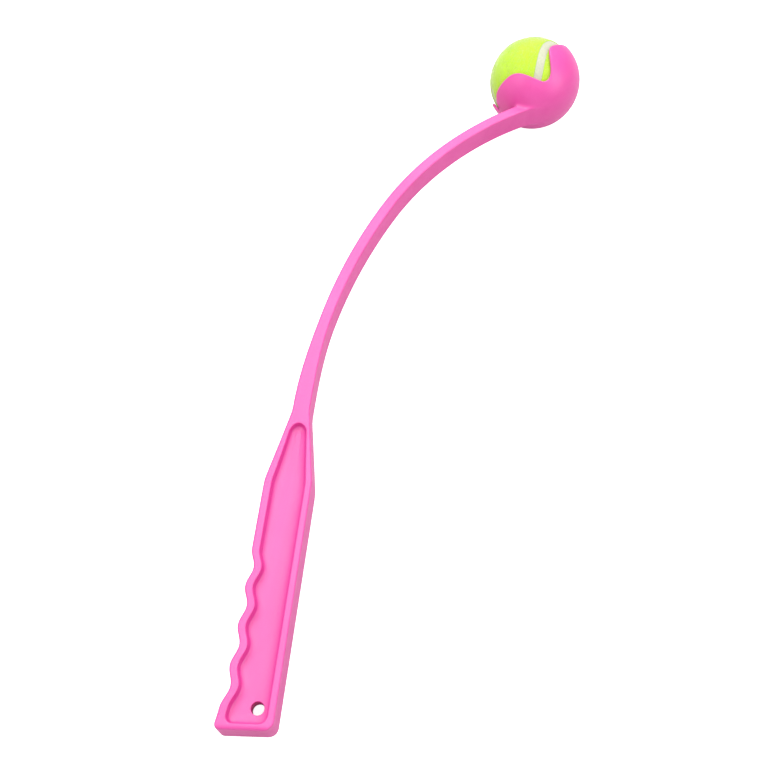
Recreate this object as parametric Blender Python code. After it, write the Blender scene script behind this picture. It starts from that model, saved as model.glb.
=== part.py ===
"""Dog ball thrower: a one-piece moulded launcher and the felt ball that its claw cup holds.

The launcher is drawn flat: +Y runs up the handle from the butt, +X points to the side that
the shaft bows towards, and Z = 0 is the parting plane of the mould. The finished assembly is
then laid on the three points that it rests on, with the floor at Z = 0.
Lengths are in metres and angles in radians.
"""

import math

import bmesh
import bpy
from mathutils import Euler, Matrix, Vector
from mathutils.geometry import intersect_point_tri

# Ball
BALL_DIAMETER = 0.064
FELT_THICKNESS = 0.0028
FELT_EDGE_ROUND = 0.0007
CORE_WALL = 0.0035
SEAM_WIDTH = 0.0052
SEAM_RECESS = 0.0007
SEAM_HOLLOW = 0.0003
SEAM_SWAY_SHARE = 0.25
PIECE_GAP = 0.0003

# Claw cup
CUP_CLEARANCE = 0.0005
CUP_WALL = 0.0019
CUP_PITCH = math.radians(13)
CUP_CANT = math.radians(15)
END_CLAW_TOP = math.radians(9.4)
SIDE_CLAW_TOP = math.radians(5.0)
SIDE_NOTCH_AT = math.radians(102)
SIDE_NOTCH_FLOOR = math.radians(-28)
END_CLAW_FLANK = math.radians(17.5)
END_CLAW_STEEPNESS = 3.0
SIDE_CLAW_FLANK = math.radians(15)
SIDE_CLAW_STEEPNESS = 2.0
SHAFT_NOTCH_AT = math.radians(172)
SHAFT_NOTCH_DEPTH = math.radians(17)
SHAFT_NOTCH_NEAR_FLANK = math.radians(10.5)
SHAFT_NOTCH_NEAR_STEEPNESS = 1.5
SHAFT_NOTCH_FAR_FLANK = math.radians(6)
SHAFT_NOTCH_FAR_STEEPNESS = 3.0

# Shaft
STRAIGHT_LENGTH = 0.1962
LOWER_BOW_RADIUS = 0.377
LOWER_BOW_TURN = math.radians(26)
UPPER_BOW_RADIUS = 0.213
UPPER_BOW_TURN = math.radians(40.4)
BALL_OFFSET = 0.0270
SHAFT_DEPTH = 0.0172
NECK_WIDTH = 0.0110
SHAFT_WIDTH = 0.0076
SHAFT_TIP_WIDTH = 0.0070
SHAFT_PALM_SHIFT = 0.00045
NECK_FADE = 0.070
TIP_TAPER_START_SHARE = 0.47
SHAFT_EDGE_ROUND = 0.0010

# Handle
HANDLE_DEPTH = 0.0206
GRIP_LENGTH = 0.145
SHOULDER_LENGTH = 0.0545
SHOULDER_EASE_SHARE = 0.10
FINGER_SIDE_AT_BUTT = 0.0160
FINGER_SIDE_AT_SHOULDER = 0.0149
PALM_SIDE_AT_BUTT = 0.0133
PALM_SIDE_AT_SHOULDER = 0.0145
FINGER_BUTT_CORNER = 0.0038
PALM_BUTT_CORNER = 0.0055
BUTT_SLANT = math.radians(3.6)
BUTT_FLARE = 0.0041
BUTT_FADE = 0.020
GROOVE_COUNT = 4
FIRST_GROOVE = 0.0230
GROOVE_PITCH = 0.0230
GROOVE_DEPTH = 0.0030
HANDLE_EDGE_ROUND = 0.0021
MOULD_DRAFT = 0.0002

# Pockets on the two faces of the handle
WEB_THICKNESS = 0.0082
POCKET_BUTT_RIM = 0.0036
POCKET_NECK_RIM = 0.0118
POCKET_NECK_ROUND = 0.0055
FINGER_RIM = 0.0049
FINGER_RIM_AT_NECK = 0.0030
PALM_RIM = 0.0041
PALM_RIM_AT_NECK = 0.0022
POCKET_CORNER = 0.0042
POCKET_WALL_ANGLE = math.radians(5)
POCKET_FLOOR_FILLET = 0.0013
POCKET_LIP_ROUND = 0.0007

# Hole to hang the launcher by
HANG_HOLE_DIAMETER = 0.0075
HANG_HOLE_UP = 0.0131
HANG_HOLE_SIDE = 0.0021

# Overrun of every cutter past the faces that it opens
CUT_OVERRUN = 0.002

# Fineness of the solids
GROOVE_STEPS = 11
CORNER_STEPS = 2
BUTT_STEPS = 5
SHOULDER_STEPS = 9
SHAFT_STEPS = 38
POCKET_STEPS_PER_GROOVE = 7
POCKET_END_STEPS = 5
POCKET_SHOULDER_STEPS = 12
CUP_COLUMNS = 84
CUP_ROWS = 8
LIP_STEPS = 4
HOLE_SEGMENTS = 28
SPHERE_SEGMENTS = 48
PANEL_ROWS = 36
PANEL_COLUMNS = 8
SEAM_STEPS = 80
CORE_SEGMENTS = 28
CORE_ROWS = 7

# Densities in kilograms per cubic metre, for the balance point of the resting assembly
PLASTIC_DENSITY = 950.0
RUBBER_DENSITY = 1100.0
FELT_DENSITY = 350.0

BALL_RADIUS = BALL_DIAMETER / 2
CORE_RADIUS = BALL_RADIUS - FELT_THICKNESS - PIECE_GAP
CUP_INNER_RADIUS = BALL_RADIUS + CUP_CLEARANCE
CUP_OUTER_RADIUS = CUP_INNER_RADIUS + CUP_WALL
NECK_AT = GRIP_LENGTH + SHOULDER_LENGTH
GROOVES_END = FIRST_GROOVE + (GROOVE_COUNT - 0.5) * GROOVE_PITCH
LOWER_BOW_LENGTH = LOWER_BOW_RADIUS * LOWER_BOW_TURN
SHAFT_LENGTH = LOWER_BOW_LENGTH + UPPER_BOW_RADIUS * UPPER_BOW_TURN
BODY_LENGTH = STRAIGHT_LENGTH + SHAFT_LENGTH
QUARTER_TURN = math.pi / 2

# How the ball is turned in the cup, so that its seam runs beside the end claw
BALL_TURN = Euler((math.radians(42), math.radians(-15), math.radians(75.5)))


def clear_scene():
    """Remove every object that the file opened with."""
    for thing in list(bpy.data.objects):
        bpy.data.objects.remove(thing, do_unlink=True)


def make_material(name, colour, roughness, metallic=0.0):
    """Return a Principled material of one colour."""
    material = bpy.data.materials.new(name)
    material.use_nodes = True
    shader = material.node_tree.nodes["Principled BSDF"]
    shader.inputs["Base Color"].default_value = (*colour, 1.0)
    shader.inputs["Roughness"].default_value = roughness
    shader.inputs["Metallic"].default_value = metallic
    return material


def add_object(name, mesh, material=None, crease=math.radians(35)):
    """Link a mesh into the scene as one smooth-shaded object."""
    if material:
        mesh.materials.append(material)
    mesh.shade_smooth()
    mesh.set_sharp_from_angle(angle=crease)
    thing = bpy.data.objects.new(name, mesh)
    bpy.context.scene.collection.objects.link(thing)
    return thing


def add_guide(name, mesh):
    """Link a mesh that only shapes another object."""
    guide = add_object(name, mesh)
    guide.hide_render = True
    guide.display_type = "WIRE"
    return guide


def cut(body, guide, operation="DIFFERENCE"):
    """Add a Boolean modifier that applies the guide to the body."""
    modifier = body.modifiers.new(guide.name, "BOOLEAN")
    modifier.operation = operation
    modifier.solver = "EXACT"
    modifier.object = guide


def add_empty(name, parent=None):
    """Add an empty that carries other objects."""
    empty = bpy.data.objects.new(name, None)
    bpy.context.scene.collection.objects.link(empty)
    empty.parent = parent
    return empty


def mesh_from(bm, name):
    """Turn a bmesh into a mesh with its faces pointing out."""
    bmesh.ops.recalc_face_normals(bm, faces=bm.faces)
    mesh = bpy.data.meshes.new(name)
    bm.to_mesh(mesh)
    bm.free()
    return mesh


def loft(name, rings):
    """Skin closed rings of equal count and cap both ends."""
    bm = bmesh.new()
    loops = [[bm.verts.new(point) for point in ring] for ring in rings]
    count = len(loops[0])
    for lower, upper in zip(loops, loops[1:]):
        for k in range(count):
            after = (k + 1) % count
            bm.faces.new((lower[k], lower[after], upper[after], upper[k]))
    bm.faces.new(loops[0])
    bm.faces.new(loops[-1])
    return mesh_from(bm, name)


def blend(low, high, share):
    """Return the value that lies a share of the way from low to high."""
    return low + (high - low) * share


def clamp_share(value):
    """Limit a value to the range from 0 to 1."""
    return min(max(value, 0.0), 1.0)


def smooth_step(value):
    """Return an S-shaped rise from 0 to 1."""
    share = clamp_share(value)
    return share * share * (3 - 2 * share)


def eased_ramp(value, ease):
    """Return a straight rise from 0 to 1 with rounded ends."""
    share = clamp_share(value)
    if share < ease:
        return share * share / (2 * ease * (1 - ease))
    if share > 1 - ease:
        return 1 - (1 - share) ** 2 / (2 * ease * (1 - ease))
    return (share - ease / 2) / (1 - ease)


def corner_drop(distance, radius):
    """Return how far a quarter-round corner falls back, at a distance from its end face."""
    if distance >= radius:
        return 0.0
    return radius - math.sqrt(radius * radius - (radius - distance) ** 2)


def quarter_stations(radius, steps):
    """Return distances from an end face that space a quarter round evenly."""
    return [radius * (1 - math.cos(QUARTER_TURN * k / steps)) for k in range(steps + 1)]


# Centreline

def centreline(along):
    """Return the point and the unit heading of the launcher's centreline."""
    bow = along - STRAIGHT_LENGTH
    if bow <= 0:
        return Vector((0, along, 0)), Vector((0, 1, 0))
    centre = Vector((LOWER_BOW_RADIUS, STRAIGHT_LENGTH, 0))
    radius = LOWER_BOW_RADIUS
    turn = bow / LOWER_BOW_RADIUS
    if turn > LOWER_BOW_TURN:
        turn = LOWER_BOW_TURN + (bow - LOWER_BOW_LENGTH) / UPPER_BOW_RADIUS
        towards_joint = Vector((-math.cos(LOWER_BOW_TURN), math.sin(LOWER_BOW_TURN), 0))
        centre = centre + towards_joint * (LOWER_BOW_RADIUS - UPPER_BOW_RADIUS)
        radius = UPPER_BOW_RADIUS
    outward = Vector((-math.cos(turn), math.sin(turn), 0))
    return centre + outward * radius, Vector((math.sin(turn), math.cos(turn), 0))


def place(along, side, height):
    """Return the point beside the centreline; side is positive on the palm side."""
    slant = math.tan(BUTT_SLANT) * math.exp(-along / BUTT_FADE)
    point, heading = centreline(along + slant * side)
    palm_side = Vector((heading.y, -heading.x, 0))
    return point + palm_side * side + Vector((0, 0, height))


# Launcher body

def shaft_half_width(along):
    """Return half the width of the shaft in the parting plane."""
    width = blend(NECK_WIDTH, SHAFT_WIDTH, smooth_step((along - NECK_AT) / NECK_FADE))
    bow_share = (along - STRAIGHT_LENGTH) / SHAFT_LENGTH
    taper = clamp_share((bow_share - TIP_TAPER_START_SHARE) / (1 - TIP_TAPER_START_SHARE))
    return blend(width, SHAFT_TIP_WIDTH, taper) / 2


def shoulder_share(along):
    """Return 0 on the grip and 1 from the neck on."""
    return eased_ramp((along - GRIP_LENGTH) / SHOULDER_LENGTH, SHOULDER_EASE_SHARE)


def finger_half_width(along):
    """Return the distance from the centreline to the side with the finger grooves."""
    groove = 0.0
    for k in range(GROOVE_COUNT):
        phase = (along - FIRST_GROOVE - k * GROOVE_PITCH) / GROOVE_PITCH
        if abs(phase) < 0.5:
            groove = GROOVE_DEPTH * (1 + math.cos(2 * math.pi * phase)) / 2
    flare = BUTT_FLARE * math.exp(-along / BUTT_FADE)
    side = blend(FINGER_SIDE_AT_BUTT, FINGER_SIDE_AT_SHOULDER, along / GRIP_LENGTH)
    shaft = shaft_half_width(along) - SHAFT_PALM_SHIFT
    return blend(side + flare - groove, shaft, shoulder_share(along))


def palm_half_width(along):
    """Return the distance from the centreline to the straight side under the palm."""
    side = blend(PALM_SIDE_AT_BUTT, PALM_SIDE_AT_SHOULDER, along / GRIP_LENGTH)
    return blend(side, shaft_half_width(along) + SHAFT_PALM_SHIFT, shoulder_share(along))


def half_depth(along):
    """Return half the thickness across the parting plane."""
    fade = smooth_step((along - GRIP_LENGTH) / SHOULDER_LENGTH)
    return blend(HANDLE_DEPTH, SHAFT_DEPTH, fade) / 2


def body_section(along):
    """Return one ring of the body: a rounded bar that is widest at the parting plane."""
    fade = smooth_step((along - GRIP_LENGTH) / SHOULDER_LENGTH)
    edge = blend(HANDLE_EDGE_ROUND, SHAFT_EDGE_ROUND, fade)
    palm = palm_half_width(along) - corner_drop(along, PALM_BUTT_CORNER)
    finger = finger_half_width(along) - corner_drop(along, FINGER_BUTT_CORNER)
    top = half_depth(along) - corner_drop(along, HANDLE_EDGE_ROUND)
    ring = []
    for side, reach, level in ((1, palm, 1), (-1, finger, 1), (-1, finger, -1), (1, palm, -1)):
        corner = []
        for k in range(CORNER_STEPS + 1):
            angle = QUARTER_TURN * k / CORNER_STEPS
            across = reach - edge * (1 - math.cos(angle))
            up = top - edge * (1 - math.sin(angle))
            corner.append(place(along, side * across, level * up))
        if side != level:
            corner.reverse()
        ring.extend(corner)
        if side == level == -1:
            ring.insert(len(ring) - len(corner), place(along, -finger - MOULD_DRAFT, 0))
    ring.append(place(along, palm + MOULD_DRAFT, 0))
    return ring


def body_stations():
    """Return the distances along the centreline at which the body has a ring."""
    stations = quarter_stations(PALM_BUTT_CORNER, BUTT_STEPS)
    steps = GROOVE_COUNT * GROOVE_STEPS
    stations += [blend(PALM_BUTT_CORNER, GROOVES_END, k / steps) for k in range(1, steps + 1)]
    stations += [blend(GRIP_LENGTH, NECK_AT, k / SHOULDER_STEPS) for k in range(SHOULDER_STEPS)]
    stations += [blend(NECK_AT, BODY_LENGTH, k / SHAFT_STEPS) for k in range(SHAFT_STEPS + 1)]
    return stations


# Pockets and hang hole

def pocket_profile():
    """Return (inset, share of the wall height, lift) rows from the floor to past the face."""
    wall_height = HANDLE_DEPTH / 2 - WEB_THICKNESS / 2
    lean = wall_height * math.tan(POCKET_WALL_ANGLE)
    fillet = POCKET_FLOOR_FILLET
    lip = POCKET_LIP_ROUND
    rows = []
    for angle in (0, QUARTER_TURN / 2, QUARTER_TURN):
        rows.append((lean + fillet * (1 - math.sin(angle)), 0, fillet * (1 - math.cos(angle))))
    for angle in (0, QUARTER_TURN / 2, QUARTER_TURN):
        rows.append((-lip * (1 - math.cos(angle)), 1, lip * (math.sin(angle) - 1)))
    rows.append((-lip, 1, CUT_OVERRUN))
    return rows


def pocket_stations(start, end, corner, end_round):
    """Return the distances along the centreline of one pocket outline."""
    stations = [start + step for step in quarter_stations(corner, POCKET_END_STEPS)]
    steps = GROOVE_COUNT * POCKET_STEPS_PER_GROOVE
    stations += [blend(start + corner, GROOVES_END, k / steps) for k in range(1, steps + 1)]
    steps = POCKET_SHOULDER_STEPS
    stations += [blend(GROOVES_END, end - end_round, k / steps) for k in range(1, steps)]
    closing = [end - step for step in quarter_stations(end_round, POCKET_END_STEPS)]
    return stations + closing[::-1]


def pocket_ring(inset, share, lift, level):
    """Return one outline of the pocket, set in from its edge and raised above its floor."""
    start = POCKET_BUTT_RIM + inset
    end = NECK_AT - POCKET_NECK_RIM - inset
    end_round = POCKET_NECK_ROUND - inset
    corner = POCKET_CORNER + POCKET_LIP_ROUND - inset / 2
    palm_points = []
    finger_points = []
    for along in pocket_stations(start, end, corner, end_round):
        fade = smooth_step((along - GRIP_LENGTH) / SHOULDER_LENGTH)
        palm_rim = blend(PALM_RIM, PALM_RIM_AT_NECK, fade)
        finger_rim = blend(FINGER_RIM, FINGER_RIM_AT_NECK, fade)
        palm = palm_half_width(along) - palm_rim - inset
        finger = finger_half_width(along) - finger_rim - inset
        drop = corner_drop(along - start, corner)
        middle = (palm - finger) / 2
        half = (palm + finger) / 2 - drop
        closing = clamp_share((along - end + end_round) / end_round)
        half *= math.sqrt(1 - closing * closing)
        floor = WEB_THICKNESS / 2
        height = blend(floor, half_depth(along), share) + lift
        palm_points.append(place(along, middle + half, level * height))
        finger_points.append(place(along, middle - half, level * height))
    return palm_points + finger_points[-2::-1]


def pocket_guide(name, level):
    """Make the solid that cuts the pocket on one face of the handle."""
    rings = [pocket_ring(inset, share, lift, level) for inset, share, lift in pocket_profile()]
    return add_guide(name, loft(name, rings))


def cylinder_guide(name, radius, depth, centre):
    """Make a round cutter with its axis across the parting plane."""
    bm = bmesh.new()
    bmesh.ops.create_cone(
        bm, cap_ends=True, segments=HOLE_SEGMENTS, radius1=radius, radius2=radius,
        depth=depth, matrix=Matrix.Translation(centre))
    return add_guide(name, mesh_from(bm, name))


# Claw cup

def cup_frame():
    """Return the cup's frame: X away from the handle, Z out of the cup's mouth."""
    foot, heading = centreline(BODY_LENGTH)
    away = Vector((-heading.y, heading.x, 0))
    mouth = away * math.cos(CUP_PITCH) - heading * math.sin(CUP_PITCH)
    ahead = heading * math.cos(CUP_PITCH) + away * math.sin(CUP_PITCH)
    canted = mouth * math.cos(CUP_CANT) + Vector((0, 0, 1)) * math.sin(CUP_CANT)
    turn = Matrix((ahead, canted.cross(ahead), canted)).transposed()
    return Matrix.Translation(foot + away * BALL_OFFSET) @ turn.to_4x4()


def notch_share(offset, flank, steepness):
    """Return how much of a notch's depth is left, at an angle from its middle."""
    return math.pow(0.5, (abs(offset) / flank) ** steepness)


def rim_elevation(azimuth):
    """Return the claws' rim angle above the ball's widest circle; azimuth 0 faces ahead."""
    around = abs(math.remainder(azimuth, 2 * math.pi))
    offset = around - SIDE_NOTCH_AT
    if offset < 0:
        side = notch_share(offset, END_CLAW_FLANK, END_CLAW_STEEPNESS)
        return blend(END_CLAW_TOP, SIDE_NOTCH_FLOOR, side)
    side = notch_share(offset, SIDE_CLAW_FLANK, SIDE_CLAW_STEEPNESS)
    aside = math.remainder(azimuth - SHAFT_NOTCH_AT, 2 * math.pi)
    if aside > 0:
        back = notch_share(aside, SHAFT_NOTCH_NEAR_FLANK, SHAFT_NOTCH_NEAR_STEEPNESS)
    else:
        back = notch_share(aside, SHAFT_NOTCH_FAR_FLANK, SHAFT_NOTCH_FAR_STEEPNESS)
    return blend(SIDE_CLAW_TOP, SIDE_NOTCH_FLOOR, side) - SHAFT_NOTCH_DEPTH * back


def rim_azimuths(count):
    """Return azimuths that space the rim evenly along its own length."""
    fine = count * 20
    lengths = [0.0]
    for k in range(fine):
        low, high = (2 * math.pi * step / fine for step in (k, k + 1))
        rise = rim_elevation(high) - rim_elevation(low)
        lengths.append(lengths[-1] + math.hypot(high - low, rise))
    azimuths = []
    k = 0
    for column in range(count):
        target = lengths[-1] * column / count
        while lengths[k + 1] <= target:
            k += 1
        share = (target - lengths[k]) / (lengths[k + 1] - lengths[k])
        azimuths.append(2 * math.pi * (k + share) / fine)
    return azimuths


def polar_point(radius, azimuth, elevation):
    """Return a point of a sphere about the origin."""
    flat = radius * math.cos(elevation)
    up = radius * math.sin(elevation)
    return Vector((flat * math.cos(azimuth), flat * math.sin(azimuth), up))


def cup_column(azimuth):
    """Return the points of one meridian: up the outside, over the round lip, down the inside."""
    middle = (CUP_OUTER_RADIUS + CUP_INNER_RADIUS) / 2
    lip = CUP_WALL / 2
    rim = rim_elevation(azimuth) - lip / middle
    rows = [blend(-QUARTER_TURN, rim, k / CUP_ROWS) for k in range(1, CUP_ROWS + 1)]
    points = [polar_point(CUP_OUTER_RADIUS, azimuth, row) for row in rows]
    for k in range(1, LIP_STEPS):
        angle = math.pi * k / LIP_STEPS
        radius = middle + lip * math.cos(angle)
        points.append(polar_point(radius, azimuth, rim + lip * math.sin(angle) / middle))
    points += [polar_point(CUP_INNER_RADIUS, azimuth, row) for row in reversed(rows)]
    return points


def cup_mesh(name):
    """Make the claw cup as a shell with rounded lips, in the cup's frame."""
    bm = bmesh.new()
    columns = [[bm.verts.new(point) for point in cup_column(a)] for a in rim_azimuths(CUP_COLUMNS)]
    outer_pole = bm.verts.new((0, 0, -CUP_OUTER_RADIUS))
    inner_pole = bm.verts.new((0, 0, -CUP_INNER_RADIUS))
    for here, after in zip(columns, columns[1:] + columns[:1]):
        bm.faces.new((outer_pole, here[0], after[0]))
        bm.faces.new((inner_pole, after[-1], here[-1]))
        for k in range(len(here) - 1):
            bm.faces.new((here[k], after[k], after[k + 1], here[k + 1]))
    return mesh_from(bm, name)


def sphere_mesh(name, radius):
    """Make a plain ball."""
    bm = bmesh.new()
    bmesh.ops.create_uvsphere(
        bm, u_segments=SPHERE_SEGMENTS, v_segments=SPHERE_SEGMENTS // 2, radius=radius)
    return mesh_from(bm, name)


def make_launcher(plastic, carrier):
    """Build the one-piece launcher: grooved handle, bowed shaft and claw cup."""
    body = loft("launcher", [body_section(along) for along in body_stations()])
    launcher = add_object("launcher", body, plastic)
    hole = cylinder_guide(
        "hang_hole_cut", HANG_HOLE_DIAMETER / 2, WEB_THICKNESS + 2 * CUT_OVERRUN,
        place(HANG_HOLE_UP, HANG_HOLE_SIDE, 0))
    pockets = [pocket_guide("front_pocket_cut", 1), pocket_guide("back_pocket_cut", -1)]
    seat_radius = blend(CUP_INNER_RADIUS, CUP_OUTER_RADIUS, 0.5)
    seat = add_guide("cup_seat_cut", sphere_mesh("cup_seat_cut", seat_radius))
    cup = add_guide("claw_cup", cup_mesh("claw_cup"))
    for guide in (seat, cup):
        guide.matrix_world = cup_frame()
    for guide in (*pockets, hole, seat):
        cut(launcher, guide)
    cut(launcher, cup, "UNION")
    for thing in (launcher, hole, *pockets, seat, cup):
        thing.parent = carrier
    return launcher


# Ball

def seam_point(turn):
    """Return a point of the unit sphere on the ball's one closed seam."""
    wide = 1 - SEAM_SWAY_SHARE
    sway = SEAM_SWAY_SHARE
    x = wide * math.cos(turn) + sway * math.cos(3 * turn)
    y = wide * math.sin(turn) - sway * math.sin(3 * turn)
    z = 2 * math.sqrt(wide * sway) * math.sin(2 * turn)
    return Vector((x, y, z)).normalized()


def seam_offset_point(turn, offset):
    """Return the unit-sphere point that lies beside the seam; offset is an angle."""
    step = 1e-4
    here = seam_point(turn)
    heading = (seam_point(turn + step) - seam_point(turn - step)).normalized()
    aside = here.cross(heading).normalized()
    return here * math.cos(offset) + aside * math.sin(offset)


def panel_grid(first_turn, side, radius, inset):
    """Return rows of points across one felt panel, from one rounded end to the other."""
    offset = side * (SEAM_WIDTH / 2 + PIECE_GAP + inset) / radius
    rows = []
    for row in range(PANEL_ROWS + 1):
        turn = first_turn + math.pi * row / PANEL_ROWS
        left = seam_offset_point(turn, offset)
        if row in (0, PANEL_ROWS):
            rows.append([left * radius])
            continue
        right = seam_offset_point(2 * first_turn - turn, offset)
        points = [left.slerp(right, k / PANEL_COLUMNS) for k in range(PANEL_COLUMNS + 1)]
        rows.append([point * radius for point in points])
    return rows


def panel_surface(bm, rows):
    """Fill a panel grid with faces and return its vertices and the loop round its edge."""
    verts = [[bm.verts.new(point) for point in row] for row in rows]
    for tip, row in ((verts[0][0], verts[1]), (verts[-1][0], verts[-2])):
        for k in range(PANEL_COLUMNS):
            bm.faces.new((tip, row[k], row[k + 1]))
    for lower, upper in zip(verts[1:-2], verts[2:-1]):
        for k in range(PANEL_COLUMNS):
            bm.faces.new((lower[k], lower[k + 1], upper[k + 1], upper[k]))
    left = [row[0] for row in verts]
    right = [row[-1] for row in verts[-2:0:-1]]
    return left + right


def panel_mesh(name, first_turn, side):
    """Make one dog-bone felt panel with a rounded outer edge."""
    bm = bmesh.new()
    inner_radius = CORE_RADIUS + PIECE_GAP
    edge_radius = BALL_RADIUS - FELT_EDGE_ROUND
    inner = panel_surface(bm, panel_grid(first_turn, side, inner_radius, 0))
    outer = panel_surface(bm, panel_grid(first_turn, side, BALL_RADIUS, FELT_EDGE_ROUND))
    edge_rows = panel_grid(first_turn, side, edge_radius, 0)
    edge = [row[0] for row in edge_rows] + [row[-1] for row in edge_rows[-2:0:-1]]
    edge = [bm.verts.new(point) for point in edge]
    count = len(edge)
    for lower, upper in ((inner, edge), (edge, outer)):
        for k in range(count):
            after = (k + 1) % count
            bm.faces.new((lower[k], lower[after], upper[after], upper[k]))
    return mesh_from(bm, name)


def seam_mesh(name):
    """Make the rubber seam that fills the groove between the felt panels."""
    bm = bmesh.new()
    low = CORE_RADIUS + PIECE_GAP
    high = BALL_RADIUS - SEAM_RECESS
    half = SEAM_WIDTH / 2
    profile = ((-half, low), (half, low), (half, high), (0, high - SEAM_HOLLOW), (-half, high))
    loops = []
    for k in range(SEAM_STEPS):
        turn = 2 * math.pi * k / SEAM_STEPS
        ring = [seam_offset_point(turn, across / radius) * radius for across, radius in profile]
        loops.append([bm.verts.new(point) for point in ring])
    count = len(profile)
    for here, after in zip(loops, loops[1:] + loops[:1]):
        for k in range(count):
            bm.faces.new((here[k], here[(k + 1) % count], after[(k + 1) % count], after[k]))
    return mesh_from(bm, name)


def core_half_mesh(name, side):
    """Make one moulded half of the hollow rubber core, open at the joint."""
    bm = bmesh.new()
    inner_radius = CORE_RADIUS - CORE_WALL
    rows = range(1, CORE_ROWS + 1)
    columns = []
    for column in range(CORE_SEGMENTS):
        azimuth = 2 * math.pi * column / CORE_SEGMENTS
        points = []
        for radius, order in ((CORE_RADIUS, rows), (inner_radius, rows[::-1])):
            joint = math.asin(PIECE_GAP / 2 / radius)
            for row in order:
                elevation = blend(QUARTER_TURN, joint, row / CORE_ROWS)
                points.append(polar_point(radius, azimuth, side * elevation))
        columns.append([bm.verts.new(point) for point in points])
    outer_pole = bm.verts.new((0, 0, side * CORE_RADIUS))
    inner_pole = bm.verts.new((0, 0, side * inner_radius))
    for here, after in zip(columns, columns[1:] + columns[:1]):
        bm.faces.new((outer_pole, here[0], after[0]))
        bm.faces.new((inner_pole, after[-1], here[-1]))
        for k in range(len(here) - 1):
            bm.faces.new((here[k], after[k], after[k + 1], here[k + 1]))
    return mesh_from(bm, name)


def make_ball(felt, rubber, seam_rubber, carrier):
    """Build the ball about its own centre and hang its pieces on the carrier."""
    pieces = [
        add_object("ball_core_half_a", core_half_mesh("ball_core_half_a", 1), rubber),
        add_object("ball_core_half_b", core_half_mesh("ball_core_half_b", -1), rubber),
        add_object("felt_panel_a", panel_mesh("felt_panel_a", 3 * math.pi / 4, 1), felt),
        add_object("felt_panel_b", panel_mesh("felt_panel_b", math.pi / 4, -1), felt),
        add_object("ball_seam", seam_mesh("ball_seam"), seam_rubber),
    ]
    for piece in pieces:
        piece.parent = carrier
    return pieces


# Resting place

def world_mesh(thing):
    """Return a copy of an object's finished mesh in world space."""
    finished = thing.evaluated_get(bpy.context.evaluated_depsgraph_get())
    bm = bmesh.new()
    bm.from_mesh(finished.to_mesh())
    bm.transform(thing.matrix_world)
    finished.to_mesh_clear()
    return bm


def mass_and_moment(bm, density):
    """Return a closed mesh's mass and its first moment about the origin."""
    bmesh.ops.triangulate(bm, faces=bm.faces)
    mass = 0.0
    moment = Vector()
    for face in bm.faces:
        a, b, c = (vert.co for vert in face.verts)
        part = density * a.dot(b.cross(c)) / 6
        mass += part
        moment += part * (a + b + c) / 4
    return mass, moment


def resting_face(corners, balance):
    """Return the lowest hull face that the balance point stands over, as normal and point."""
    hull = bmesh.new()
    for corner in corners:
        hull.verts.new(corner)
    made = bmesh.ops.convex_hull(hull, input=hull.verts, use_existing_faces=False)
    faces = [item for item in made["geom"] if isinstance(item, bmesh.types.BMFace)]
    stable = []
    for face in faces:
        a, b, c = (vert.co.copy() for vert in face.verts)
        normal = (b - a).cross(c - a).normalized()
        if normal.dot(balance - a) > 0:
            normal.negate()
        foot = balance - normal * normal.dot(balance - a)
        if normal.z < 0 and intersect_point_tri(foot, a, b, c):
            stable.append((normal, a))
    hull.free()
    return min(stable, key=lambda entry: entry[0].z)


def lay_down(weights, carrier):
    """Turn the carrier so that the assembly rests on the floor, centred on the origin."""
    bpy.context.view_layer.update()
    corners = []
    mass = 0.0
    moment = Vector()
    for thing, density in weights:
        bm = world_mesh(thing)
        corners += [vert.co.copy() for vert in bm.verts]
        part, part_moment = mass_and_moment(bm, density)
        mass += part
        moment += part_moment
        bm.free()
    normal, _ = resting_face(corners, moment / mass)
    up = -normal
    along = (Vector((0, 1, 0)) - up * up.y).normalized()
    turn = Matrix((along.cross(up), along, up))
    turned = [turn @ corner for corner in corners]
    low = Vector(min(point[axis] for point in turned) for axis in range(3))
    high = Vector(max(point[axis] for point in turned) for axis in range(3))
    shift = Vector((-(low.x + high.x) / 2, -(low.y + high.y) / 2, -low.z))
    carrier.matrix_world = Matrix.Translation(shift) @ turn.to_4x4()


def main():
    """Build the thrower and lay it down."""
    clear_scene()
    plastic = make_material("pink_plastic", (0.93, 0.21, 0.52), 0.42)
    felt = make_material("yellow_green_felt", (0.62, 0.86, 0.10), 0.95)
    rubber = make_material("core_rubber", (0.09, 0.09, 0.08), 0.75)
    seam_rubber = make_material("seam_rubber", (0.80, 0.82, 0.72), 0.70)
    resting = add_empty("resting_place")
    launcher = make_launcher(plastic, resting)
    ball_centre = add_empty("ball_centre", resting)
    ball_centre.matrix_world = cup_frame() @ BALL_TURN.to_matrix().to_4x4()
    pieces = make_ball(felt, rubber, seam_rubber, ball_centre)
    densities = [RUBBER_DENSITY, RUBBER_DENSITY, FELT_DENSITY, FELT_DENSITY, RUBBER_DENSITY]
    lay_down([(launcher, PLASTIC_DENSITY), *zip(pieces, densities)], resting)
    bpy.context.view_layer.update()


main()
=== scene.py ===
"""Looks of the dog ball thrower: a satin moulded launcher and a felt ball with a rubber seam.

The launcher is lofted again from the part's own measures, with finer steps and soft fillets.
Its own frame has +Y up the handle, +X to the palm side and Z = 0 at the parting plane.
Lengths are in metres. Angles are in radians, except the three of a _TURN triple, in degrees.
"""

import math
import random

import bmesh
import bpy
import numpy as np
from mathutils import Euler, Matrix, Vector, noise

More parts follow.
